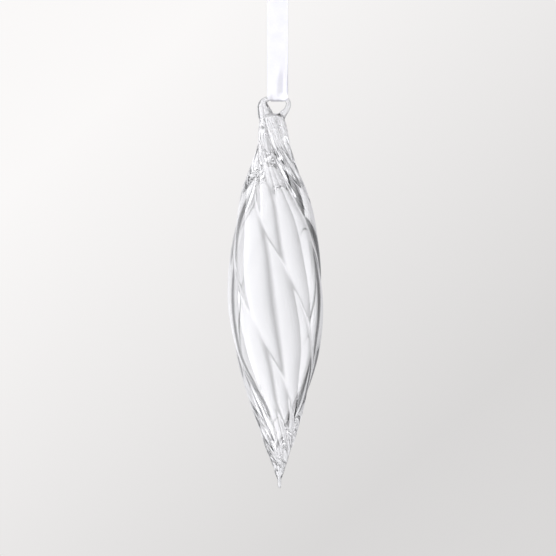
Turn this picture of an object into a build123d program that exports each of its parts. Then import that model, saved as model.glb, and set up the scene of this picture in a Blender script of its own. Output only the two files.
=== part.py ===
"""Hollow blown-glass icicle ornament with twisted ribs, hung on a loop of satin ribbon.

Millimetres, +Z up. The origin is the hanging point: the inside of the ribbon loop's top,
where a twig or hook bears. X runs along the eye's bar and across the ribbon's width,
and -Y is the front.
"""

from build123d import *

import os
from math import cos, exp, hypot, pi, radians, sin

os.makedirs("parts", exist_ok=True)

# ---------------------------------------------------------------- driving dimensions

# Glass body: blown, hollow, with creases that wind about its length
BODY_LENGTH = 155.0
BODY_TOP = Vector(-2.35, 0, -63.6)
BODY_TILT = 1.1  # degrees; the tip leans to +X
BELLY_RADIUS = 20.5
# (depth below the neck's top, outer radius)
BODY_OUTLINE = [
    (0, 5.9),
    (6, 6.6),
    (16, 8.4),
    (30, 13.5),
    (46, 17.2),
    (75, 20.5),
    (98, 18.5),
    (117, 13.4),
    (137, 7.3),
    (148, 3.2),
    (155, 0.9),
]
SECTION_STEP = 5.0

# Creases
RIBS = 5
TWIST_PER_MM = 1.36  # degrees, at the belly; the narrow ends twist faster
TWIST_POWER = 0.85
FIRST_CREASE = -60.0  # degrees round from the front, at the neck's top
CREASE_DEPTH = 0.6
CREASE_DEPTH_LIMIT = 0.06  # of the radius, where the body is narrow
CREASE_WIDTH = 0.13  # of the spacing between creases
CREASE_ROUNDING = 0.05
RIDGE_DEPTH = 0.9
RIDGE_DEPTH_LIMIT = 0.08
POINTS_PER_RIB = 8

# Cavity
WALL = 2.0
CAVITY_TOP = 8.0
CAVITY_BOTTOM = 143.0
CAVITY_END = 0.6  # radius of each end, as a share of the full cavity there

# Hanging eye: a pulled strand, bent over and fused back on to the neck
BAR_Z = -56.0
BAR_RADIUS = 0.93
# (x, z, radius) along the strand, from its thick root to its end
EYE_STRAND = [
    (-4.8, -66.4, 3.2),
    (-5.4, -63.8, 3.2),
    (-6.1, -61.2, 2.8),
    (-6.3, -59.0, 2.25),
    (-5.8, -57.4, 1.5),
    (-4.3, -56.35, 1.05),
    (-2.6, -56.0, BAR_RADIUS),
    (0.0, -56.0, BAR_RADIUS),
    (2.0, -56.0, BAR_RADIUS),
    (3.85, -56.85, 0.97),
    (4.5, -58.9, 1.08),
    (3.6, -61.2, 1.2),
    (2.3, -63.4, 1.3),
    (1.6, -65.4, 1.4),
]

# Drop that seals the tip
DROP_RADIUS = 0.8
DROP_LENGTH = 3.2

# Ribbon
RIBBON_WIDTH = 8.8
RIBBON_THICKNESS = 0.3
BAR_CLEARANCE = 0.17  # under the bar
LOOP_RADIUS = 3.3
LOOP_CREST_Z = RIBBON_THICKNESS / 2
FOLD_RADIUS = 1.6
FOLD_WIDTH = 5.2  # gathered to this where it passes through the eye
FOLD_TAPER_TOP = 0.8  # above the bar's centre
FOLD_TAPER_BOTTOM = -0.1
CORNER_SHARE = 0.95  # of the most that the loop's corners allow
RIBBON_PARTING_Z = -30.0
RIBBON_PARTING_GAP = 0.4

# Knot and its two tails
KNOT_WIDTH = 8.0
KNOT_DEPTH = 6.0
KNOT_HEIGHT = 6.0
KNOT_BASE_SHARE = 0.8  # of its width and depth, where it narrows to its base and its top
KNOT_TOP_SHARE = 0.7
KNOT_CORNER = 2.4
TAIL_ROOT_INSET = 0.2  # into the knot's side
TAIL_REACH = 11.0
TAIL_RISE = 0.6
TAIL_SPLAY = 0.8
TAIL_BEND = 3.0
TAIL_DROP = 11.0
TAIL_WIDTH = 8.0
TAIL_NOTCH = 3.0  # the swallowtail cut
CUT_MARGIN = 1.0  # how far a cutting shape runs past what it cuts


# ---------------------------------------------------------------- glass body


def outline_radius(depth):
    """Outer radius at a depth below the neck's top: a smooth curve through the outline."""
    depths = [d for d, _ in BODY_OUTLINE]
    radii = [r for _, r in BODY_OUTLINE]
    last = len(depths) - 1
    depth = min(max(depth, 0.0), depths[last])
    i = max(k for k in range(last) if depths[k] <= depth)

    def slope(k):
        low, high = max(k - 1, 0), min(k + 1, last)
        return (radii[high] - radii[low]) / (depths[high] - depths[low])

    span = depths[i + 1] - depths[i]
    t = (depth - depths[i]) / span
    return (
        radii[i] * (1 + 2 * t) * (1 - t) ** 2
        + slope(i) * span * t * (1 - t) ** 2
        + radii[i + 1] * t * t * (3 - 2 * t)
        + slope(i + 1) * span * t * t * (t - 1)
    )


def crease_angle(depth, steps=200):
    """Direction of the first crease at a depth, in degrees round from the front."""
    step = depth / steps
    turn = 0.0
    for k in range(steps):
        radius = outline_radius((k + 0.5) * step)
        turn += TWIST_PER_MM * (BELLY_RADIUS / radius) ** TWIST_POWER * step
    return FIRST_CREASE + turn


def crease(u):
    """1 on a crease and falling to 0 on the rib, u ribs away from it."""
    return exp(-(hypot(u, CREASE_ROUNDING) - CREASE_ROUNDING) / CREASE_WIDTH)


def body_plane(depth):
    """The cross-section plane at a depth, on the body's tilted axis."""
    tilt = radians(BODY_TILT)
    down = Vector(sin(tilt), 0, -cos(tilt))
    return Plane(
        origin=BODY_TOP + down * depth,
        x_dir=Vector(cos(tilt), 0, sin(tilt)),
        z_dir=down * -1,
    )


def ribbed_section(depth, radius, groove):
    """A closed cross-section of one spline per rib, with creases as deep as groove."""
    first = radians(crease_angle(depth))
    steps = range(POINTS_PER_RIB + 1)
    parameters = [k / POINTS_PER_RIB for k in steps]

    def rib_points(rib):
        for u in parameters:
            r = radius - groove * crease(min(u, 1 - u))
            angle = first + 2 * pi * (rib + u) / RIBS
            yield (r * sin(angle), -r * cos(angle))

    with BuildSketch(body_plane(depth)) as section:
        with BuildLine():
            for rib in range(RIBS):
                # The same parameters in every section keep the loft true to the creases
                add(Edge.make_spline(list(rib_points(rib)), parameters=parameters))
        make_face()
    return section.sketch


def even_depths(start, end):
    """Depths from start to end, about a section step apart."""
    count = round((end - start) / SECTION_STEP)
    return [start + (end - start) * k / count for k in range(count + 1)]


def outer_section(depth):
    """The body's outside at a depth."""
    radius = outline_radius(depth)
    return ribbed_section(depth, radius, min(CREASE_DEPTH, CREASE_DEPTH_LIMIT * radius))


def cavity_section(depth):
    """The wall is even, with a ridge inside each crease; both ends draw in."""
    at_end = depth in (CAVITY_TOP, CAVITY_BOTTOM)
    radius = (outline_radius(depth) - WALL) * (CAVITY_END if at_end else 1.0)
    return ribbed_section(depth, radius, min(RIDGE_DEPTH, RIDGE_DEPTH_LIMIT * radius))


with BuildPart() as glass_body:
    loft(sections=[outer_section(d) for d in even_depths(0, BODY_LENGTH)])
    loft(
        sections=[cavity_section(d) for d in even_depths(CAVITY_TOP, CAVITY_BOTTOM)],
        mode=Mode.SUBTRACT,
    )


# ---------------------------------------------------------------- hanging eye

with BuildLine(Plane.XZ) as strand_line:
    Spline(*[(x, z) for x, z, _ in EYE_STRAND])


def strand_section(x, z, radius):
    """A round cross-section square to the strand at one of its points."""
    path = strand_line.wire()
    t = path.param_at_point(Vector(x, 0, z))
    with BuildSketch(Plane(origin=path @ t, x_dir=(0, 1, 0), z_dir=path % t)) as section:
        Circle(radius)
    return section.sketch


with BuildPart() as hanging_eye:
    loft(sections=[strand_section(*point) for point in EYE_STRAND])
    split(bisect_by=body_plane(0), keep=Keep.TOP)


# ---------------------------------------------------------------- tip drop

tip_plane = body_plane(BODY_LENGTH)
tip_radius = outline_radius(BODY_LENGTH)
with BuildPart() as tip_drop:
    with BuildSketch(tip_plane * Plane.XZ):
        with BuildLine():
            Spline(
                (tip_radius, 0),
                (DROP_RADIUS, -DROP_LENGTH / 2),
                (0, -DROP_LENGTH),
                tangents=[(-0.1, -1), (-1, 0)],
            )
            Polyline((0, -DROP_LENGTH), (0, 0), (tip_radius, 0))
        make_face()
    revolve(axis=Axis(tip_plane.origin, tip_plane.z_dir))


# ---------------------------------------------------------------- ribbon loop

FOLD_Z = BAR_Z - BAR_RADIUS - BAR_CLEARANCE - RIBBON_THICKNESS / 2
# (y, z) round the loop, front first: the crest over the twig, then the fold under the bar
LOOP_ROUTE = [
    (-LOOP_RADIUS, LOOP_CREST_Z),
    (-FOLD_RADIUS, FOLD_Z),
    (FOLD_RADIUS, FOLD_Z),
    (LOOP_RADIUS, LOOP_CREST_Z),
]
LOOP_RADII = [CORNER_SHARE * abs(y) for y, _ in LOOP_ROUTE]
print("ribbon loop radii, mm:", [round(r, 2) for r in LOOP_RADII])

with BuildPart() as ribbon_loop:
    with BuildSketch(Plane.YZ):
        with BuildLine():
            FilletPolyline(*LOOP_ROUTE, radius=LOOP_RADII, close=True)
        make_face()
        offset(amount=RIBBON_THICKNESS / 2)
        offset(amount=-RIBBON_THICKNESS, mode=Mode.SUBTRACT)
    extrude(amount=RIBBON_WIDTH / 2, both=True)
    with BuildSketch(Plane.XZ):
        with BuildLine():
            Polyline(
                (FOLD_WIDTH / 2, FOLD_Z - CUT_MARGIN),
                (FOLD_WIDTH / 2, BAR_Z + FOLD_TAPER_BOTTOM),
                (RIBBON_WIDTH / 2, BAR_Z + FOLD_TAPER_TOP),
                (RIBBON_WIDTH, BAR_Z + FOLD_TAPER_TOP),
                (RIBBON_WIDTH, FOLD_Z - CUT_MARGIN),
                close=True,
            )
        make_face()
        mirror(about=Plane.YZ)
    extrude(amount=2 * LOOP_RADIUS, both=True, mode=Mode.SUBTRACT)

with BuildPart() as ribbon_upper:
    add(ribbon_loop.part)
    split(bisect_by=Plane.XY.offset(RIBBON_PARTING_Z + RIBBON_PARTING_GAP / 2), keep=Keep.TOP)

with BuildPart() as ribbon_lower:
    add(ribbon_loop.part)
    split(bisect_by=Plane.XY.offset(RIBBON_PARTING_Z - RIBBON_PARTING_GAP / 2), keep=Keep.BOTTOM)


# ---------------------------------------------------------------- knot and tails

KNOT_BASE_Z = RIBBON_THICKNESS
# (height above the base, share of the width and depth)
KNOT_SECTIONS = [(0, KNOT_BASE_SHARE), (KNOT_HEIGHT / 2, 1.0), (KNOT_HEIGHT, KNOT_TOP_SHARE)]

with BuildPart() as ribbon_knot:
    for height, share in KNOT_SECTIONS:
        with BuildSketch(Plane.XY.offset(KNOT_BASE_Z + height)):
            RectangleRounded(KNOT_WIDTH * share, KNOT_DEPTH * share, KNOT_CORNER * share)
    loft()


def ribbon_tail(side):
    """One cut end, out of the knot's side and over in an arc; side is -1 or 1."""
    root_x = KNOT_WIDTH / 2 - TAIL_ROOT_INSET
    root_z = KNOT_BASE_Z + KNOT_HEIGHT / 2
    end_z = root_z - TAIL_DROP
    with BuildPart() as tail:
        with BuildSketch(Plane.XZ):
            with BuildLine():
                FilletPolyline(
                    (side * root_x, root_z),
                    (side * TAIL_REACH, root_z + TAIL_RISE),
                    (side * (TAIL_REACH + TAIL_SPLAY), end_z),
                    radius=TAIL_BEND,
                )
                offset(amount=RIBBON_THICKNESS, side=Side.LEFT)
            make_face()
        extrude(amount=TAIL_WIDTH / 2, both=True)
        with BuildSketch(Plane.YZ):
            with BuildLine():
                Polyline(
                    (-TAIL_WIDTH / 2, end_z - CUT_MARGIN),
                    (0, end_z + TAIL_NOTCH),
                    (TAIL_WIDTH / 2, end_z - CUT_MARGIN),
                    close=True,
                )
            make_face()
        extrude(amount=2 * TAIL_REACH, both=True, mode=Mode.SUBTRACT)
    return tail.part


ribbon_tail_left = ribbon_tail(-1)
ribbon_tail_right = ribbon_tail(1)


# ---------------------------------------------------------------- export

PIECES = {
    "glass_body": glass_body.part,
    "hanging_eye": hanging_eye.part,
    "tip_drop": tip_drop.part,
    "ribbon_upper": ribbon_upper.part,
    "ribbon_lower": ribbon_lower.part,
    "ribbon_knot": ribbon_knot.part,
    "ribbon_tail_left": ribbon_tail_left,
    "ribbon_tail_right": ribbon_tail_right,
}
for name, piece in PIECES.items():
    piece.label = name
    export_step(piece, f"parts/{name}.step")
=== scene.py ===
"""The icicle hanging ornament as it looks: clear blown glass on a loop of white satin ribbon.

Metres, +Z up. The origin is the hanging point, X runs across the ribbon, -Y is the front.
"""

import math

import bmesh
import bpy
import numpy as np
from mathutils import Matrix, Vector, kdtree


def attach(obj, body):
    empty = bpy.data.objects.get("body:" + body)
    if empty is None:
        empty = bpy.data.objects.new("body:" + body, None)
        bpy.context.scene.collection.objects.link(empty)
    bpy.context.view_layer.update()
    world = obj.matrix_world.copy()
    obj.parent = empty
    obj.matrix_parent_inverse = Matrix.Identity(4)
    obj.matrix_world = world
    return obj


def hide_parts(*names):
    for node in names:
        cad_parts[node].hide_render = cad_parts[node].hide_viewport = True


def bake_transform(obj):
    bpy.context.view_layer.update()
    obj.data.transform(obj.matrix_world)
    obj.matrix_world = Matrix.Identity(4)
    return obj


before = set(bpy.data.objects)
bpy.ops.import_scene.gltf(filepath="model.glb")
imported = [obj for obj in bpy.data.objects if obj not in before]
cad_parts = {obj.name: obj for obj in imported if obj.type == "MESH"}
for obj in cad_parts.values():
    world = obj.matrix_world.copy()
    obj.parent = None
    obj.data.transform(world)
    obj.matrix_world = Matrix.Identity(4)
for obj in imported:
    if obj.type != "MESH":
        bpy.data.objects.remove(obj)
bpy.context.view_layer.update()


# ---------------------------------------------------------------- driving dimensions

# Glass body, as in the CAD model
BODY_LENGTH = 0.155
BODY_TOP = np.array([-0.00235, 0.0, -0.0636])
BODY_TILT = math.radians(1.1)
BELLY_RADIUS = 0.0205
# (depth below the neck's top, outer radius)
BODY_OUTLINE = [
    (0.000, 0.00590),
    (0.006, 0.00660),
    (0.016, 0.00840),
    (0.030, 0.01350),
    (0.046, 0.01720),
    (0.075, 0.02050),
    (0.098, 0.01850),
    (0.117, 0.01340),
    (0.137, 0.00730),
    (0.148, 0.00320),
    (0.155, 0.00090),
]
DROP_LENGTH = 0.0032
DROP_RADIUS = 0.00075

# Creases outside and the ridges behind them
RIBS = 5
TWIST_PER_METRE = math.radians(1360)
TWIST_POWER = 0.85
FIRST_CREASE = math.radians(-60)
CREASE_WIDTH = 0.28  # of the spacing between creases
NECK_CREASE_WIDTH = 0.20
CREASE_ROUNDING = 0.03
BODY_GROOVE = 0.085  # of the radius
NECK_GROOVE = 0.40
NECK_GROOVE_TO = 0.062
TIP_GROOVE = 0.28
FOLD_WIDTH = 0.07
FOLD_ROUNDING = 0.02
NECK_FOLD = 0.14
NECK_FOLD_TO = 0.040
TIP_FOLD = 0.12
RIDGE = 0.065
NECK_RIDGE = 0.30
TIP_RIDGE = 0.30
NECK_RIDGE_FROM = 0.006
NECK_RIDGE_TO = 0.050
RIDGE_WIDTH = 0.26
# How strongly each crease is drawn: no two are alike in blown glass
CREASE_STRENGTH = np.array([1.0, 0.8, 1.15, 0.9, 1.05])

# Its strength varies down the body, and it strays from an even helix, in radians
CREASE_VARIATION = 0.2
CREASE_VARIATION_WAVES = 95  # radians of wave to a metre of body
CREASE_VARIATION_LAG = 1.7  # from one crease to the next
CREASE_WANDER = 0.05
CREASE_WANDER_WAVES = 70
CREASE_WANDER_LAG = 2.1
# Depths below the neck's top between which each change happens
NECK_FROM = 0.008
TIP_GROOVE_DEPTHS = (0.105, 0.140)
TIP_GROOVE_END = BODY_LENGTH - 0.006
TIP_FOLD_DEPTHS = (0.120, 0.140)
TIP_FOLD_END = 0.148
TIP_RIDGE_DEPTHS = (0.100, 0.145)
NECK_WIDTH_DEPTHS = (0.010, 0.050)
CROWN_END = 0.003

# Shoulder and drop: where the neck's rounded top starts and how round it is
SHOULDER_DEPTH = 0.0035
CROWN_DEPTH = -0.0009
SHOULDER_ROUNDNESS = 2.6
TAPER_START = BODY_LENGTH - 0.012
DROP_NECK = 0.55  # of the drop's length, where its round end begins

# Cavity
WALL = 0.0020
CAVITY_TOP = 0.003
CAVITY_TOP_TAPER = 0.050
CAVITY_BOTTOM = 0.151
CAVITY_BOTTOM_TAPER = 0.045
CAVITY_POINT = 0.8  # how sharply the cavity is drawn to a point: under 1 is blunter

# Hanging eye: (x, z, radius) along the pulled strand, from its thick root to its end
BAR_Z = -0.056
BAR_RADIUS = 0.00093
EYE_STRAND = [
    (-0.0036, -0.0690, 0.0026),
    (-0.0042, -0.0664, 0.0034),
    (-0.0052, -0.0636, 0.0034),
    (-0.0060, -0.0611, 0.0029),
    (-0.0063, -0.0590, 0.0023),
    (-0.0058, -0.0574, 0.00155),
    (-0.0043, -0.05635, 0.00105),
    (-0.0026, BAR_Z, BAR_RADIUS),
    (0.0000, BAR_Z, BAR_RADIUS),
    (0.0020, BAR_Z, BAR_RADIUS),
    (0.00385, -0.05685, 0.00097),
    (0.0045, -0.0589, 0.00108),
    (0.0036, -0.0611, 0.0012),
    (0.0020, -0.0630, 0.0016),
    (0.0008, -0.0652, 0.0021),
    (0.0002, -0.0680, 0.0024),
]

# Where the strand is thicker than a thin pull it is grooved, and the grooves twist
STRAND_THICK = (0.0011, 0.0026)  # radii at which the grooves begin and are whole
STRAND_LOBES = 3
STRAND_TWIST_PER_METRE = 420  # radians
STRAND_GROOVE = 0.10  # of the radius

# Ribbon
RIBBON_WIDTH = 0.0088
RIBBON_THICKNESS = 0.00024
# (y, z) of the loop's route, from the knot down the front, under the bar and up the back
RIBBON_ROUTE = [
    (-0.0003, 0.00015),
    (-0.0033, 0.00015),
    (-0.0032, -0.0040),
    (-0.0018, -0.0530),
    (-0.0016, -0.05740),
    (0.0016, -0.05740),
    (0.0018, -0.0530),
    (0.0032, -0.0040),
    (0.0033, 0.00015),
    (0.0003, 0.00015),
]
CURL_DEPTHS = (0.034, 0.051)  # below the hanging point: where the front layer bends back
CURL_END_DEPTHS = (0.0540, 0.0562)
CURL = 0.62  # radians
CURL_FROM = (0.0022, -0.0008)  # across the ribbon, where the bend starts: above and below
CURL_BAND = (0.0006, 0.0030)  # how wide the bent band is: above and below
CURL_SPREAD = 0.0011
FOLD_DEPTHS = (0.0561, 0.0571)  # below the hanging point: where the fold tucks into the eye
FOLD_SIDES = (-0.0030, 0.0024)
FOLD_FLARE = 0.00055
RIBBON_CUP = 0.10  # radians, how far the edges turn forward
RIBBON_WAVE = 0.00010
RIBBON_WAVES_PER_METRE = 210  # radians of wave to a metre of ribbon
PLEAT = 0.00004
PLEAT_SPACING = 0.0021
PLEAT_DEPTHS = (0.0535, 0.0565)
FLARE_DEPTHS = ((0.0535, 0.0555), (0.0566, 0.0573))  # where the flare starts and ends
FLARE_FROM = (0.0020, 0.0036)  # from the ribbon's middle

# Knot and tails
KNOT_WIDTH = 0.0080
KNOT_DEPTH = 0.0060
KNOT_HEIGHT = 0.0060
KNOT_BASE_Z = 0.0003
KNOT_BAND_NORMAL = (0.90, 0.10, 0.42)
KNOT_BAND_HALF = 0.36
KNOT_BAND_SOFTNESS = 0.07
KNOT_SQUARENESS = 2.6  # 2 is round, more is squarer
KNOT_PLEATS = 9
KNOT_ROWS = 90
KNOT_COLUMNS = 120
TAIL_WIDTH = 0.0084
TAIL_ROOT_WIDTH = 0.0034
TAIL_NOTCH = 0.0032
TAIL_TURN = 14  # degrees about the vertical, from root to end
TAIL_PLEAT = 0.00035
TAIL_CUP = 0.0011
TAIL_RIPPLE = 0.00045
# (x, y, z) of each tail's route, out from the knot; x is towards the tail's own side
TAIL_ROUTES = {
    -1: [
        (0.0030, 0.0, 0.0034),
        (0.0075, -0.0002, 0.0046),
        (0.0108, -0.0004, 0.0040),
        (0.0116, -0.0006, -0.0010),
        (0.0110, -0.0006, -0.0078),
    ],
    1: [
        (0.0030, 0.0, 0.0034),
        (0.0078, 0.0004, 0.0042),
        (0.0112, 0.0006, 0.0036),
        (0.0114, 0.0006, -0.0020),
        (0.0122, 0.0004, -0.0076),
    ],
}

# Striae in the glass, and the satin's weave
STRIAE_SCALE = 6.5
STRIAE_STRETCH = 9.0
STRIAE_HEIGHT = 0.00025
STRIAE_CALM_DEPTH = 0.080
STRIAE_CALM = 0.05
STRIAE_FULL = 0.6
STRIAE_CALM_REACH = 0.030  # from the calm depth, up and down
STRIAE_FULL_REACH = 0.075
GLASS_IOR = 1.5
SATIN_SCALE = 900
# Size of the painted sheen patches in the satin's colour
SATIN_PAINTED_SHEEN_SCALE = 160
SATIN_STRETCH = (1.0, 3.5, 6.0)
# The satin's colour swings between these two: a painted lavender-grey shade and a painted light
# sheen
SATIN_PAINTED_SHADE = (0.88, 0.88, 0.96, 1)
SATIN_PAINTED_SHEEN = (0.97, 0.97, 1.0, 1)
SATIN_BUMP = 0.00004
FLOOR_COLOUR = (0.90, 0.885, 0.88, 1)

# Mesh density
AROUND_RIB = 36
AROUND_RIB_INSIDE = 28
ROWS = 270
ROWS_INSIDE = 230
AROUND_STRAND = 32
STRAND_ROWS = 110
ACROSS_RIBBON = 44
ACROSS_TAIL = 33
# How far from the eye's seam each pass of smoothing reaches
SEAM_REACHES = [0.0012] * 6 + [0.0007] * 8


# ---------------------------------------------------------------- mesh helpers


def smoothstep(x, low, high):
    """0 below low, 1 above high and an S-curve between them."""
    t = np.clip((np.asarray(x, float) - low) / (high - low), 0, 1)
    return t * t * (3 - 2 * t)


def make_object(name, points, faces):
    """A smooth-shaded mesh object from a list of points and faces."""
    mesh = bpy.data.meshes.new(name)
    mesh.from_pydata([tuple(p) for p in points], [], faces)
    mesh.polygons.foreach_set("use_smooth", [True] * len(mesh.polygons))
    mesh.update()
    piece = bpy.data.objects.new(name, mesh)
    bpy.context.scene.collection.objects.link(piece)
    return piece


def grid_faces(rows, columns):
    """Quads between rows of points, each row closed on itself."""
    faces = []
    for i in range(rows - 1):
        for j in range(columns):
            a = i * columns + j
            b = i * columns + (j + 1) % columns
            faces.append((a, a + columns, b + columns, b))
    return faces


def closed_rings(rings, inward=False):
    """Points and faces of a closed skin through rings of points, with a pole at each end."""
    rows, columns, _ = rings.shape
    points = rings.reshape(-1, 3)
    first, last = rings[0].mean(0), rings[-1].mean(0)
    points = np.vstack([points, first, last])
    faces = grid_faces(rows, columns)
    top, bottom = rows * columns, rows * columns + 1
    for j in range(columns):
        k = (j + 1) % columns
        faces.append((j, k, top))
        end = (rows - 1) * columns
        faces.append((end + k, end + j, bottom))
    if inward:
        faces = [face[::-1] for face in faces]
    return points, faces


def flow_of(rings, lengthwise):
    """Where each point of closed rings lies in the glass's flow: round it, and along it."""
    rows, columns, _ = rings.shape
    turn = 2 * np.pi * np.arange(columns) / columns
    flow = np.zeros((rows, columns, 3))
    flow[:, :, 0] = np.cos(turn)
    flow[:, :, 1] = np.sin(turn)
    flow[:, :, 2] = lengthwise[:, None]
    poles = [[0, 0, lengthwise[0]], [0, 0, lengthwise[-1]]]
    return np.vstack([flow.reshape(-1, 3), poles])


def give_flow(piece, flow):
    """Keeps the flow on the mesh, for the glass's striae."""
    layer = piece.data.attributes.new("flow", "FLOAT_VECTOR", "POINT")
    layer.data.foreach_set("vector", np.asarray(flow, np.float32).ravel())


# ---------------------------------------------------------------- glass body


def smooth_curve(at, values, slopes, where):
    """A smooth curve through values, with the given slopes, at places along a line."""
    i = np.clip(np.searchsorted(at, where, side="right") - 1, 0, len(at) - 2)
    span = at[i + 1] - at[i]
    t = (where - at[i]) / span
    return (
        values[i] * (1 + 2 * t) * (1 - t) ** 2
        + slopes[i] * span * t * (1 - t) ** 2
        + values[i + 1] * t * t * (3 - 2 * t)
        + slopes[i + 1] * span * t * t * (t - 1)
    )


def outline_radius(depth):
    """Outer radius at a depth below the neck's top: a smooth curve through the outline."""
    depths, radii = np.array(BODY_OUTLINE).T
    low = np.concatenate([[0], np.arange(len(depths) - 1)])
    high = np.concatenate([np.arange(1, len(depths)), [len(depths) - 1]])
    slopes = (radii[high] - radii[low]) / (depths[high] - depths[low])
    return smooth_curve(depths, radii, slopes, np.clip(depth, 0, depths[-1]))


FINE_DEPTHS = np.linspace(0, BODY_LENGTH, 4000)
FINE_TWIST = TWIST_PER_METRE * (BELLY_RADIUS / outline_radius(FINE_DEPTHS)) ** TWIST_POWER
FINE_ANGLES = FIRST_CREASE + np.concatenate([[0], np.cumsum(FINE_TWIST[:-1])]) * FINE_DEPTHS[1]


def crease_angle(depth):
    """Direction of the first crease at a depth, round from the front towards +X."""
    return np.interp(depth, FINE_DEPTHS, FINE_ANGLES)


def crease(u, width, rounding):
    """1 on a crease and falling to 0 on the rib, u ribs away from it."""
    return np.exp(-(np.hypot(u, rounding) - rounding) / width)


def rib_parameters(per_rib):
    """Places round one rib, from crease to crease, closer together near the creases."""
    t = np.arange(per_rib) / per_rib
    return t - 0.6 * np.sin(2 * np.pi * t) / (2 * np.pi)


def crease_strength(k, depths):
    """How strongly crease k is drawn at each depth."""
    own = CREASE_STRENGTH[k % RIBS][None, :]
    phase = CREASE_VARIATION_WAVES * depths[:, None] + CREASE_VARIATION_LAG * (k % RIBS)[None, :]
    return own * (1 + CREASE_VARIATION * np.sin(phase))


def crease_wander(k, depths):
    """How far crease k strays round the body from its even helix at each depth, in radians."""
    phase = CREASE_WANDER_WAVES * depths[:, None] + CREASE_WANDER_LAG * (k % RIBS)[None, :]
    return CREASE_WANDER * np.sin(phase)


def body_rings(depths, radii, groove_depth, fold_depth, widths, per_rib):
    """Rings of points whose columns follow the creases round and down the body.

    groove_depth is for the creases and fold_depth for a finer fold midway between them,
    both as a share of the radius. widths is the creases' width. Each has one value a ring.
    """
    u = np.tile(rib_parameters(per_rib), RIBS)
    rib = np.repeat(np.arange(RIBS), per_rib)
    widths = widths[:, None]
    near = crease(u[None, :], widths, CREASE_ROUNDING) * crease_strength(rib, depths)
    far = crease(1 - u[None, :], widths, CREASE_ROUNDING) * crease_strength(rib + 1, depths)
    fold = crease(np.abs(u - 0.5), FOLD_WIDTH, FOLD_ROUNDING)[None, :]
    midway = 2 * crease(0.5, widths, CREASE_ROUNDING)  # so that a rib's middle is at full radius
    groove = groove_depth[:, None] * (near + far - midway) + fold_depth[:, None] * fold
    share = smoothstep(u, 0, 1)[None, :]
    wander = (1 - share) * crease_wander(rib, depths) + share * crease_wander(rib + 1, depths)
    angle = crease_angle(depths)[:, None] + 2 * np.pi * ((rib + u) / RIBS)[None, :] + wander
    radius = radii[:, None] * (1 - groove)
    down = np.array([math.sin(BODY_TILT), 0, -math.cos(BODY_TILT)])
    across = np.array([math.cos(BODY_TILT), 0, math.sin(BODY_TILT)])
    front = np.array([0, -1.0, 0])
    centres = BODY_TOP + depths[:, None] * down
    return (
        centres[:, None, :]
        + (radius * np.sin(angle))[:, :, None] * across
        + (radius * np.cos(angle))[:, :, None] * front
    )


def outer_rings():
    """The outside, from the neck's rounded top to the end of the tip's drop."""
    dome_turn = np.linspace(0.02, np.pi / 2, 14)
    dome = SHOULDER_DEPTH - (SHOULDER_DEPTH - CROWN_DEPTH) * np.cos(dome_turn)[:-1]
    middle = np.linspace(SHOULDER_DEPTH, TAPER_START, ROWS)
    taper = np.linspace(TAPER_START, BODY_LENGTH + DROP_LENGTH * DROP_NECK, 50)[1:]
    bead_share = DROP_NECK + (1 - DROP_NECK) * np.sin(np.linspace(0, np.pi / 2, 12))
    bead = BODY_LENGTH + DROP_LENGTH * bead_share[1:]
    depths = np.concatenate([dome, middle, taper, bead])
    radii = outline_radius(depths)
    top = np.clip((SHOULDER_DEPTH - depths) / (SHOULDER_DEPTH - CROWN_DEPTH), 0, 1)
    radii = radii * np.maximum(1 - top**SHOULDER_ROUNDNESS, 0) ** (1 / SHOULDER_ROUNDNESS)
    into_drop = np.clip((depths - BODY_LENGTH) / DROP_LENGTH, 0, 1)
    into_bead = np.clip(into_drop - DROP_NECK, 0, 1) / (1 - DROP_NECK)
    drop = DROP_RADIUS * np.sqrt(np.maximum(1 - into_bead**2, 1e-4))
    radii = radii + (drop - radii) * smoothstep(depths, BODY_LENGTH - 0.003, BODY_LENGTH + 0.0006)
    below_crown = smoothstep(depths, CROWN_DEPTH, CROWN_END)
    grooves = (
        BODY_GROOVE
        + (NECK_GROOVE - BODY_GROOVE) * (1 - smoothstep(depths, NECK_FROM, NECK_GROOVE_TO))
        + (TIP_GROOVE - BODY_GROOVE) * smoothstep(depths, *TIP_GROOVE_DEPTHS)
    )
    grooves = grooves * (1 - smoothstep(depths, TIP_GROOVE_END, BODY_LENGTH)) * below_crown
    neck_folds = NECK_FOLD * (1 - smoothstep(depths, NECK_FROM, NECK_FOLD_TO)) * below_crown
    tip_folds = TIP_FOLD * smoothstep(depths, *TIP_FOLD_DEPTHS)
    folds = neck_folds + tip_folds * (1 - smoothstep(depths, TIP_FOLD_END, BODY_LENGTH))
    neckward = 1 - smoothstep(depths, *NECK_WIDTH_DEPTHS)
    widths = CREASE_WIDTH + (NECK_CREASE_WIDTH - CREASE_WIDTH) * neckward
    return body_rings(depths, radii, grooves, folds, widths, AROUND_RIB), depths


def inner_rings():
    """The cavity's skin, with a ridge behind each crease, drawn to a point at both ends."""
    t = np.linspace(0, 1, ROWS_INSIDE)
    spread = t - 0.5 * np.sin(2 * np.pi * t) / (2 * np.pi)
    depths = CAVITY_TOP + (CAVITY_BOTTOM - CAVITY_TOP) * spread
    radii = np.maximum(outline_radius(depths) - WALL, 0.0002)
    top = np.clip((depths - CAVITY_TOP) / CAVITY_TOP_TAPER, 0, 1)
    bottom = np.clip((CAVITY_BOTTOM - depths) / CAVITY_BOTTOM_TAPER, 0, 1)
    radii = radii * np.maximum(np.sin(np.pi / 2 * top) ** CAVITY_POINT, 0.01)
    radii = radii * np.maximum(np.sin(np.pi / 2 * bottom) ** CAVITY_POINT, 0.01)
    ridges = (
        RIDGE
        + NECK_RIDGE * (1 - smoothstep(depths, NECK_RIDGE_FROM, NECK_RIDGE_TO))
        + TIP_RIDGE * smoothstep(depths, *TIP_RIDGE_DEPTHS)
    )
    widths = np.full_like(depths, RIDGE_WIDTH)
    return body_rings(depths, radii, ridges, 0 * depths, widths, AROUND_RIB_INSIDE), depths


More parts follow.
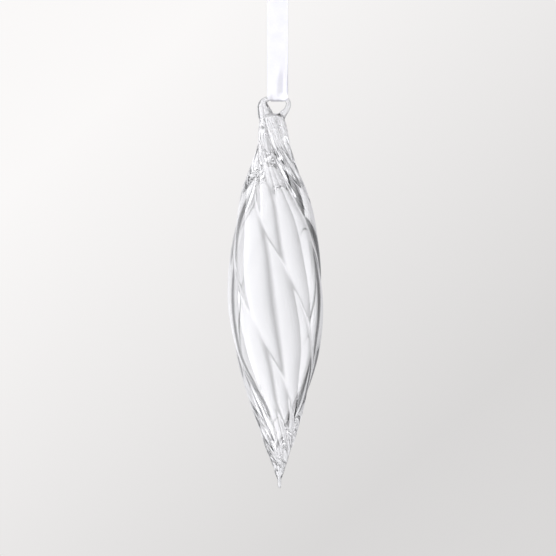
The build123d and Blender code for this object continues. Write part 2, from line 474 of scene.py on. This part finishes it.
def eye_rings():
    """The pulled strand: round at the bar, grooved and twisted where it is thick."""
    knots = np.array(EYE_STRAND)
    along = np.concatenate([[0], np.cumsum(np.hypot(*np.diff(knots[:, :2], axis=0).T))])
    s = np.linspace(0, along[-1], STRAND_ROWS)
    x, z, radius = (
        smooth_curve(along, values, np.gradient(values, along), s) for values in knots.T
    )
    tangent = np.stack([np.gradient(x), np.zeros_like(x), np.gradient(z)], 1)
    tangent /= np.linalg.norm(tangent, axis=1)[:, None]
    side = np.cross(tangent, [0, 1.0, 0])
    angle = np.linspace(0, 2 * np.pi, AROUND_STRAND, endpoint=False)
    thick = smoothstep(radius, *STRAND_THICK)
    lobes = STRAND_LOBES * angle[None, :] + s[:, None] * STRAND_TWIST_PER_METRE
    shape = 1 - STRAND_GROOVE * thick[:, None] * (1 - np.abs(np.cos(lobes / 2))) ** 1.5
    reach = radius[:, None] * shape
    centre = np.stack([x, np.zeros_like(x), z], 1)
    rings = (
        centre[:, None, :]
        + (reach * np.cos(angle))[:, :, None] * side[:, None, :]
        + (reach * np.sin(angle))[:, :, None] * np.array([0, 1.0, 0])
    )
    return rings, -s


def fuse(piece, other):
    """Joins another closed skin to a piece, as one skin, and softens the seam between them."""
    for part in (piece, other):
        part.data.materials.append(None)
        part.data.materials.append(None)
    other.data.polygons.foreach_set("material_index", [1] * len(other.data.polygons))
    union = piece.modifiers.new("fuse", "BOOLEAN")
    union.operation = "UNION"
    union.solver = "EXACT"
    union.object = other
    bpy.context.view_layer.update()
    evaluated = piece.evaluated_get(bpy.context.evaluated_depsgraph_get())
    mesh = bpy.data.meshes.new_from_object(evaluated)
    piece.modifiers.clear()
    piece.data = mesh
    bpy.data.objects.remove(other)

    work = bmesh.new()
    work.from_mesh(mesh)
    seam = [v for v in work.verts if len({face.material_index for face in v.link_faces}) > 1]
    tree = kdtree.KDTree(len(seam))
    for k, vertex in enumerate(seam):
        tree.insert(vertex.co, k)
    tree.balance()
    for reach in SEAM_REACHES:
        near = [v for v in work.verts if tree.find(v.co)[2] < reach]
        bmesh.ops.smooth_vert(
            work, verts=near, factor=0.5, use_axis_x=True, use_axis_y=True, use_axis_z=True
        )
    for face in work.faces:
        face.material_index = 0
    work.to_mesh(mesh)
    work.free()
    mesh.materials.clear()


def glass_piece():
    """Body, eye and tip drop in one skin, with the cavity as a second skin inside it."""
    rings, depths = outer_rings()
    glass = make_object("blown_glass", *closed_rings(rings))
    give_flow(glass, flow_of(rings, depths))
    rings, lengthwise = eye_rings()
    eye = make_object("eye_strand", *closed_rings(rings))
    give_flow(eye, flow_of(rings, lengthwise))
    fuse(glass, eye)

    rings, depths = inner_rings()
    points, faces = closed_rings(rings, inward=True)
    work = bmesh.new()
    work.from_mesh(glass.data)
    layer = work.verts.layers.float_vector["flow"]
    new = [work.verts.new(p) for p in points]
    for vertex, flow in zip(new, flow_of(rings, depths)):
        vertex[layer] = flow
    for face in faces:
        work.faces.new([new[k] for k in face])
    for face in work.faces:
        face.smooth = True
    work.to_mesh(glass.data)
    work.free()
    return glass


# ---------------------------------------------------------------- ribbon


def nurbs_line(name, points):
    """Samples along a smooth open line that has these points as its control points."""
    curve = bpy.data.curves.new(name, "CURVE")
    curve.dimensions = "3D"
    curve.resolution_u = 24
    spline = curve.splines.new("NURBS")
    spline.points.add(len(points) - 1)
    for point, place in zip(spline.points, points):
        point.co = (*place, 1)
    spline.order_u = 3
    spline.use_endpoint_u = True
    line = bpy.data.objects.new(name, curve)
    mesh = bpy.data.meshes.new_from_object(line)
    samples = np.array([v.co for v in mesh.vertices])
    bpy.data.objects.remove(line)
    bpy.data.curves.remove(curve)
    bpy.data.meshes.remove(mesh)
    return samples


def even_samples(samples, step):
    """The same line as points a fixed step apart, with each one's distance along it."""
    gaps = np.linalg.norm(np.diff(samples, axis=0), axis=1)
    keep = np.concatenate([[True], gaps > 1e-9])
    samples = samples[keep]
    along = np.concatenate([[0], np.cumsum(np.linalg.norm(np.diff(samples, axis=0), axis=1))])
    s = np.linspace(0, along[-1], max(2, round(along[-1] / step)))
    return np.stack([np.interp(s, along, samples[:, k]) for k in range(3)], 1), s


def strip(name, centre, lateral, lift, across, reach=None):
    """A thin closed strip along a line.

    lateral and lift say how far each point across lies from the line, along across and
    along the line's own normal, one row of each for every point of the line. reach is the
    share of the line's length at which each lengthwise line of the strip stops.
    """
    tangent = np.gradient(centre, axis=0)
    tangent /= np.linalg.norm(tangent, axis=1)[:, None]
    normal = np.cross(tangent, across)
    normal /= np.linalg.norm(normal, axis=1)[:, None]
    surface = (
        centre[:, None, :]
        + lateral[:, :, None] * across[:, None, :]
        + lift[:, :, None] * normal[:, None, :]
    )
    if reach is not None:
        share = np.linspace(0, 1, len(centre))
        for j, end in enumerate(reach):
            column = surface[:, j].copy()
            for k in range(3):
                surface[:, j, k] = np.interp(share * end, share, column[:, k])
    along_u = np.gradient(surface, axis=1)
    along_v = np.gradient(surface, axis=0)
    face_normal = np.cross(along_v, along_u)
    face_normal /= np.linalg.norm(face_normal, axis=2)[:, :, None]
    half = RIBBON_THICKNESS / 2 * face_normal
    loop = np.concatenate([surface + half, (surface - half)[:, ::-1]], axis=1)
    rows, columns, _ = loop.shape
    points = loop.reshape(-1, 3)
    faces = grid_faces(rows, columns)
    # Each end is closed by quads from one side of the strip to the other
    wide = columns // 2
    for j in range(wide - 1):
        faces.append((j, j + 1, columns - 2 - j, columns - 1 - j))
        last = (rows - 1) * columns
        faces.append((last + columns - 1 - j, last + columns - 2 - j, last + j + 1, last + j))
    return make_object(name, points, faces)


def ribbon_piece():
    """One flat satin strip round the loop, curled along one edge and tucked in at the fold."""
    route = [(0.0, y, z) for y, z in RIBBON_ROUTE]
    path = nurbs_line("ribbon_route", route)
    centre, s = even_samples(path, 0.0004)
    depth = -centre[:, 2]
    front = s < s[-1] / 2
    a = np.linspace(-RIBBON_WIDTH / 2, RIBBON_WIDTH / 2, ACROSS_RIBBON)

    # A band of the front layer bends back, wider and nearer the middle lower down
    down = smoothstep(depth, *CURL_DEPTHS)
    strength = CURL * down * (1 - smoothstep(depth, *CURL_END_DEPTHS)) * front
    start = CURL_FROM[0] + (CURL_FROM[1] - CURL_FROM[0]) * down
    end = start + CURL_BAND[0] + (CURL_BAND[1] - CURL_BAND[0]) * down
    into = smoothstep(a[None, :] - start[:, None], 0, CURL_SPREAD)
    out = smoothstep(a[None, :] - end[:, None], 0, CURL_SPREAD)
    tilt = -strength[:, None] * into * (1 - out)
    tilt = tilt + RIBBON_CUP * np.sin(np.pi * a / RIBBON_WIDTH)[None, :]
    step = a[1] - a[0]
    x = np.cumsum(np.cos(tilt), axis=1) * step
    lift = np.cumsum(np.sin(tilt), axis=1) * step
    middle = ACROSS_RIBBON // 2
    x -= x[:, middle : middle + 1]
    lift -= lift[:, middle : middle + 1]
    wave = RIBBON_WAVE * np.sin(s * RIBBON_WAVES_PER_METRE + 0.6)
    lift += (wave * (1 - smoothstep(depth, 0.045, 0.055)))[:, None]

    tuck = smoothstep(depth, *FOLD_DEPTHS)[:, None]
    tucked = FOLD_SIDES[0] + (FOLD_SIDES[1] - FOLD_SIDES[0]) * (a[None, :] / RIBBON_WIDTH + 0.5)
    x = x * (1 - tuck) + tucked * tuck
    # Slight pleats where it is gathered
    pleats = PLEAT * np.cos(a * 2 * np.pi / PLEAT_SPACING)[None, :]
    lift = lift * (1 - tuck) + pleats * smoothstep(depth, *PLEAT_DEPTHS)[:, None]
    # Its edges stand clear of the eye's limbs just above the fold
    flare = smoothstep(depth, *FLARE_DEPTHS[0]) * (1 - smoothstep(depth, *FLARE_DEPTHS[1]))
    lift += FOLD_FLARE * flare[:, None] * smoothstep(np.abs(a), *FLARE_FROM)[None, :]
    across = np.tile([1.0, 0, 0], (len(s), 1))
    ribbon = strip("satin_ribbon_loop", centre, x, lift, across)
    return ribbon, path


# ---------------------------------------------------------------- knot and tails


def knot_piece():
    """The overhand knot: a pleated pillow that gathers at both sides, and a band across it."""
    polar = np.linspace(0.03, np.pi - 0.03, KNOT_ROWS)[:, None]
    round_x = np.linspace(0, 2 * np.pi, KNOT_COLUMNS, endpoint=False)[None, :]
    direction = np.stack(
        [
            np.cos(polar) + 0 * round_x,
            -np.sin(polar) * np.cos(round_x),
            np.sin(polar) * np.sin(round_x),
        ],
        axis=2,
    )
    size = (np.abs(direction) ** KNOT_SQUARENESS).sum(2) ** (-1 / KNOT_SQUARENESS)
    # Pleats run out to the two sides; the band crosses them on a slant
    toward_side = np.abs(direction[:, :, 0])
    pleat = np.sin(KNOT_PLEATS * round_x + 2.2 * direction[:, :, 0])
    pleats = 1 + (0.025 + 0.05 * toward_side**2) * pleat
    slant = np.array(KNOT_BAND_NORMAL) / np.linalg.norm(KNOT_BAND_NORMAL)
    off_band = direction @ slant
    band_edge = KNOT_BAND_HALF + KNOT_BAND_SOFTNESS
    band = 1 - smoothstep(np.abs(off_band), KNOT_BAND_HALF, band_edge)
    fold_lines = 0.02 * np.cos(off_band / KNOT_BAND_HALF * 2.5 * np.pi)
    shape = size * (pleats * (1 - band) * 0.90 + band * (1.0 + fold_lines))
    half = np.array([KNOT_WIDTH, KNOT_DEPTH, KNOT_HEIGHT]) / 2
    rings = direction * shape[:, :, None] * half + np.array([0, 0, KNOT_BASE_Z + KNOT_HEIGHT / 2])
    return make_object("satin_knot", *closed_rings(rings[::-1]))


def tail_piece(name, side):
    """A cut end: out of the knot, over in a soft arc and down to a swallowtail."""
    route = [(side * x, y, z) for x, y, z in TAIL_ROUTES[side]]
    centre, s = even_samples(nurbs_line(name, route), 0.0003)
    share = s / s[-1]
    open_out = smoothstep(share, 0.0, 0.42)[:, None]
    width = TAIL_ROOT_WIDTH + (TAIL_WIDTH - TAIL_ROOT_WIDTH) * open_out
    across = np.linspace(-0.5, 0.5, ACROSS_TAIL)[None, :]
    lateral = width * across
    pleats = TAIL_PLEAT * (1 - open_out) * np.cos(across * 5 * np.pi)
    cupped = TAIL_CUP * (across * 2) ** 2 * (1 - 0.5 * open_out)
    ripple = TAIL_RIPPLE * np.sin(9 * share[:, None] + 3.0 * across) * open_out
    lift = pleats - cupped + ripple
    turn = np.radians(TAIL_TURN * side) * share**2
    direction = np.stack([np.sin(turn) * side, np.cos(turn), 0 * turn], 1)
    # Each lengthwise line stops where the swallowtail's cut is
    reach = 1 - TAIL_NOTCH / s[-1] * (1 - 2 * np.abs(across[0]))
    return strip(name, centre, lateral, lift, direction, reach=reach)


# ---------------------------------------------------------------- materials


def new_material(name):
    material = bpy.data.materials.new(name)
    material.use_nodes = True
    return material, material.node_tree, material.node_tree.nodes["Principled BSDF"]


def add_node(tree, kind, settings=(), inputs=(), links=()):
    """A shader node with its settings, its constant inputs and what its inputs are fed by."""
    node = tree.nodes.new(kind)
    for name, value in dict(settings).items():
        setattr(node, name, value)
    for name, value in dict(inputs).items():
        node.inputs[name].default_value = value
    for name, source in dict(links).items():
        tree.links.new(source, node.inputs[name])
    return node


def glass_material():
    """Clear soda glass, fire-polished, with striae that follow the pull of the glass."""
    material, tree, shader = new_material("clear_blown_glass")
    shader.inputs["Base Color"].default_value = (1, 1, 1, 1)
    shader.inputs["Transmission Weight"].default_value = 1.0
    shader.inputs["Roughness"].default_value = 0.0
    shader.inputs["IOR"].default_value = GLASS_IOR

    flow = add_node(tree, "ShaderNodeAttribute", {"attribute_name": "flow"})
    stretched = add_node(
        tree,
        "ShaderNodeMapping",
        inputs={"Scale": (1, 1, STRIAE_STRETCH)},
        links={"Vector": flow.outputs["Vector"]},
    )
    striae = add_node(
        tree,
        "ShaderNodeTexNoise",
        inputs={"Scale": STRIAE_SCALE, "Detail": 2.0, "Roughness": 0.55},
        links={"Vector": stretched.outputs["Vector"]},
    )
    along = add_node(tree, "ShaderNodeSeparateXYZ", links={"Vector": flow.outputs["Vector"]})
    # The striae are strongest where the glass was pulled thin, at the neck and the tip
    middle = add_node(
        tree,
        "ShaderNodeMath",
        {"operation": "SUBTRACT"},
        {1: STRIAE_CALM_DEPTH},
        {0: along.outputs["Z"]},
    )
    away = add_node(tree, "ShaderNodeMath", {"operation": "ABSOLUTE"}, links={0: middle.outputs[0]})
    strength = add_node(
        tree,
        "ShaderNodeMapRange",
        {"interpolation_type": "SMOOTHSTEP"},
        {
            "From Min": STRIAE_CALM_REACH,
            "From Max": STRIAE_FULL_REACH,
            "To Min": STRIAE_CALM,
            "To Max": STRIAE_FULL,
        },
        {"Value": away.outputs[0]},
    )
    bump = add_node(
        tree,
        "ShaderNodeBump",
        inputs={"Distance": STRIAE_HEIGHT},
        links={"Height": striae.outputs["Fac"], "Strength": strength.outputs["Result"]},
    )
    tree.links.new(bump.outputs["Normal"], shader.inputs["Normal"])
    return material


def satin_material():
    """White satin, its colour mottled between a painted lavender-grey shade and a painted light
    sheen: long floats across a fine warp.
    """
    material, tree, shader = new_material("white_satin")
    shader.inputs["Roughness"].default_value = 0.38
    shader.inputs["Specular IOR Level"].default_value = 0.45
    shader.inputs["Anisotropic"].default_value = 0.5
    shader.inputs["Sheen Weight"].default_value = 0.35
    shader.inputs["Sheen Roughness"].default_value = 0.4

    place = add_node(tree, "ShaderNodeTexCoord")
    # Floats run across the ribbon and are a fraction of a millimetre long
    stretched = add_node(
        tree,
        "ShaderNodeMapping",
        inputs={"Scale": SATIN_STRETCH},
        links={"Vector": place.outputs["Object"]},
    )
    weave = add_node(
        tree,
        "ShaderNodeTexNoise",
        inputs={"Scale": SATIN_SCALE, "Detail": 3.0, "Roughness": 0.6},
        links={"Vector": stretched.outputs["Vector"]},
    )
    # Painted sheen: patches some millimetres across that lighten or shade the colour, standing in
    # for satin's sheen
    painted_sheen_bands = add_node(
        tree,
        "ShaderNodeTexNoise",
        inputs={"Scale": SATIN_PAINTED_SHEEN_SCALE, "Detail": 2.0},
        links={"Vector": place.outputs["Object"]},
    )
    blend = add_node(
        tree,
        "ShaderNodeMath",
        {"operation": "MULTIPLY"},
        links={0: weave.outputs["Fac"], 1: painted_sheen_bands.outputs["Fac"]},
    )
    # The colour runs from painted lavender-grey shade to painted light sheen, by the weave and the
    # painted sheen patches together
    colour = add_node(tree, "ShaderNodeValToRGB", links={"Fac": blend.outputs[0]})
    stops = colour.color_ramp.elements
    stops[0].position, stops[0].color = 0.12, SATIN_PAINTED_SHADE
    stops[1].position, stops[1].color = 0.40, SATIN_PAINTED_SHEEN
    tree.links.new(colour.outputs["Color"], shader.inputs["Base Color"])
    bump = add_node(
        tree,
        "ShaderNodeBump",
        inputs={"Distance": SATIN_BUMP, "Strength": 0.35},
        links={"Height": weave.outputs["Fac"]},
    )
    tree.links.new(bump.outputs["Normal"], shader.inputs["Normal"])
    return material


# ---------------------------------------------------------------- pieces

glass = glass_piece()
glass.data.materials.append(glass_material())
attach(glass, "glass")
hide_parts("glass_body", "hanging_eye", "tip_drop")

ribbon, ribbon_path = ribbon_piece()
satin = satin_material()
ribbon.data.materials.append(satin)
knot = knot_piece()
tail_left = tail_piece("satin_tail_left", -1)
tail_right = tail_piece("satin_tail_right", 1)
for piece, node in (
    (knot, "ribbon_knot"),
    (tail_left, "ribbon_tail_left"),
    (tail_right, "ribbon_tail_right"),
):
    piece.data.materials.append(satin)
    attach(piece, "ribbon_top")
    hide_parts(node)
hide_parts("ribbon_upper", "ribbon_lower")
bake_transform(ribbon)


# ---------------------------------------------------------------- studio

# Radiance round the ornament, in degrees from the camera's side towards +X.
# Soft boxes, as they show in the polish of the glass:
SOFT_BOXES = [
    (-180, 0.7),
    (-150, 2.0),
    (-91, 4.0),
    (-89, 11.0),
    (-60, 9.5),
    (-40, 9.0),
    (-24, 7.0),
    (-8, 0.0),
    (8, 10.5),
    (40, 7.0),
    (72, 0.2),
    (76, 8.0),
    (118, 1.5),
    (150, 0.8),
    (180, 0.7),
]
# The pale room with a dark flag on each side, as it shows through the glass:
ROOM = [
    (-180, 0.57),
    (-149, 0.63),
    (-141, 0.03),
    (-129, 0.03),
    (-123, 1.20),
    (-80, 0.90),
    (0, 0.40),
    (80, 0.90),
    (108, 1.20),
    (113, 0.01),
    (143, 0.01),
    (151, 0.63),
    (180, 0.57),
]
BRIGHTEST = 12.0
ROOM_TINT = (0.975, 0.97, 1.0)
SOFT_BOX_TINT = (0.97, 0.97, 1.0)
# Backdrop: its level straight ahead, and how it changes upward and to the right
BACKDROP_COLOUR = (1.0, 0.985, 0.98, 1)
BACKDROP_LEVEL = 0.825
BACKDROP_RISE = 1.20
BACKDROP_RIGHTWARD = -1.09
BACKDROP_FOCUS = 8.0  # the gradient keeps straight ahead more as this grows
BACKDROP_LEAST = 0.70
BACKDROP_MOST = 0.96
FLOOR_Z = -1.5
CAMERA_DISTANCE = 1.2
CAMERA_Z = -0.1325
VIEW_WIDTH = 0.2363  # what the camera sees across, at the ornament
KEY_LIGHT_WATTS = 12
KEY_LIGHT_PLACE = (-1.0, -1.1, 0.5)
KEY_LIGHT_AIM = (0, 0, -0.04)
FLOOR_RADIUS = 9.0


def make_world():
    """A pale backdrop for the camera, and the studio's soft boxes for light and glass."""
    world = bpy.data.worlds.new("studio")
    bpy.context.scene.world = world
    world.use_nodes = True
    tree = world.node_tree
    tree.nodes.clear()
    link = tree.links.new

    direction = tree.nodes.new("ShaderNodeTexCoord")
    split = tree.nodes.new("ShaderNodeSeparateXYZ")
    link(direction.outputs["Generated"], split.inputs[0])

    def maths(operation, first, second=None):
        node = tree.nodes.new("ShaderNodeMath")
        node.operation = operation
        for socket, value in zip(node.inputs, (first, second)):
            if isinstance(value, bpy.types.NodeSocket):
                link(value, socket)
            elif value is not None:
                socket.default_value = value
        return node.outputs[0]

    toward_camera = maths("MULTIPLY", split.outputs["Y"], -1.0)
    turn = maths("ARCTAN2", split.outputs["X"], toward_camera)
    place = maths("ADD", maths("DIVIDE", turn, 2 * math.pi), 0.5)

    def surroundings(radiances, tint):
        ramp = tree.nodes.new("ShaderNodeValToRGB")
        link(place, ramp.inputs[0])
        stops = ramp.color_ramp.elements
        for k, (degrees, radiance) in enumerate(radiances):
            at = (degrees + 180) / 360
            stop = stops[k] if k < 2 else stops.new(at)
            stop.position = at
            stop.color = (*(radiance / BRIGHTEST * c for c in tint), 1)
        background = tree.nodes.new("ShaderNodeBackground")
        background.inputs["Strength"].default_value = BRIGHTEST
        link(ramp.outputs["Color"], background.inputs["Color"])
        return background.outputs[0]

    # Lighter above and to the left straight ahead, and even everywhere else
    ahead = maths("POWER", maths("MAXIMUM", split.outputs["Y"], 0.0), BACKDROP_FOCUS)
    rise = maths("MULTIPLY", split.outputs["Z"], BACKDROP_RISE)
    rightward = maths("MULTIPLY", split.outputs["X"], BACKDROP_RIGHTWARD)
    gradient = maths("MULTIPLY", maths("ADD", rise, rightward), ahead)
    level = maths("ADD", gradient, BACKDROP_LEVEL)
    level = maths("MINIMUM", maths("MAXIMUM", level, BACKDROP_LEAST), BACKDROP_MOST)

    seen = tree.nodes.new("ShaderNodeBackground")
    seen.inputs["Color"].default_value = BACKDROP_COLOUR
    link(level, seen.inputs["Strength"])
    light_path = tree.nodes.new("ShaderNodeLightPath")

    def choose(question, otherwise, answer):
        mix = tree.nodes.new("ShaderNodeMixShader")
        link(light_path.outputs[question], mix.inputs[0])
        link(otherwise, mix.inputs[1])
        link(answer, mix.inputs[2])
        return mix.outputs[0]

    room = surroundings(ROOM, ROOM_TINT)
    boxes = surroundings(SOFT_BOXES, SOFT_BOX_TINT)
    mix = choose("Is Glossy Ray", room, boxes)
    mix = choose("Is Transmission Ray", mix, room)
    mix = choose("Is Camera Ray", mix, seen.outputs[0])
    output = tree.nodes.new("ShaderNodeOutputWorld")
    link(mix, output.inputs["Surface"])


def make_camera():
    """Level with the ornament's middle, looking along +Y."""
    camera = bpy.data.cameras.new("camera")
    camera.sensor_width = 36
    camera.lens = camera.sensor_width * CAMERA_DISTANCE / VIEW_WIDTH
    holder = bpy.data.objects.new("camera", camera)
    holder.location = (0, -CAMERA_DISTANCE, CAMERA_Z)
    holder.rotation_euler = (math.radians(90), 0, 0)
    bpy.context.scene.collection.objects.link(holder)
    bpy.context.scene.camera = holder


def make_key_light():
    """A soft lamp from the front left, for the ribbon."""
    lamp = bpy.data.lights.new("key", "AREA")
    lamp.shape = "RECTANGLE"
    lamp.size = 0.6
    lamp.size_y = 0.9
    lamp.energy = KEY_LIGHT_WATTS
    holder = bpy.data.objects.new("key", lamp)
    holder.location = KEY_LIGHT_PLACE
    aim = Vector(KEY_LIGHT_AIM) - holder.location
    holder.rotation_euler = aim.to_track_quat("-Z", "Y").to_euler()
    holder.visible_glossy = False
    holder.visible_transmission = False
    bpy.context.scene.collection.objects.link(holder)


def make_floor():
    """A plain pale floor, well below the ornament."""
    turn = np.linspace(0, 2 * np.pi, 96, endpoint=False)
    rim = np.stack([FLOOR_RADIUS * np.cos(turn), FLOOR_RADIUS * np.sin(turn), FLOOR_Z + 0 * turn], 1)
    floor = make_object("floor", rim, [tuple(range(len(turn)))])
    material, _, shader = new_material("pale_floor")
    shader.inputs["Base Color"].default_value = FLOOR_COLOUR
    shader.inputs["Roughness"].default_value = 0.8
    floor.data.materials.append(material)
    floor.visible_glossy = False
    floor.visible_transmission = False
    floor.visible_diffuse = False


make_world()
make_camera()
make_key_light()
bpy.context.scene.view_settings.view_transform = "Standard"

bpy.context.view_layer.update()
make_floor()
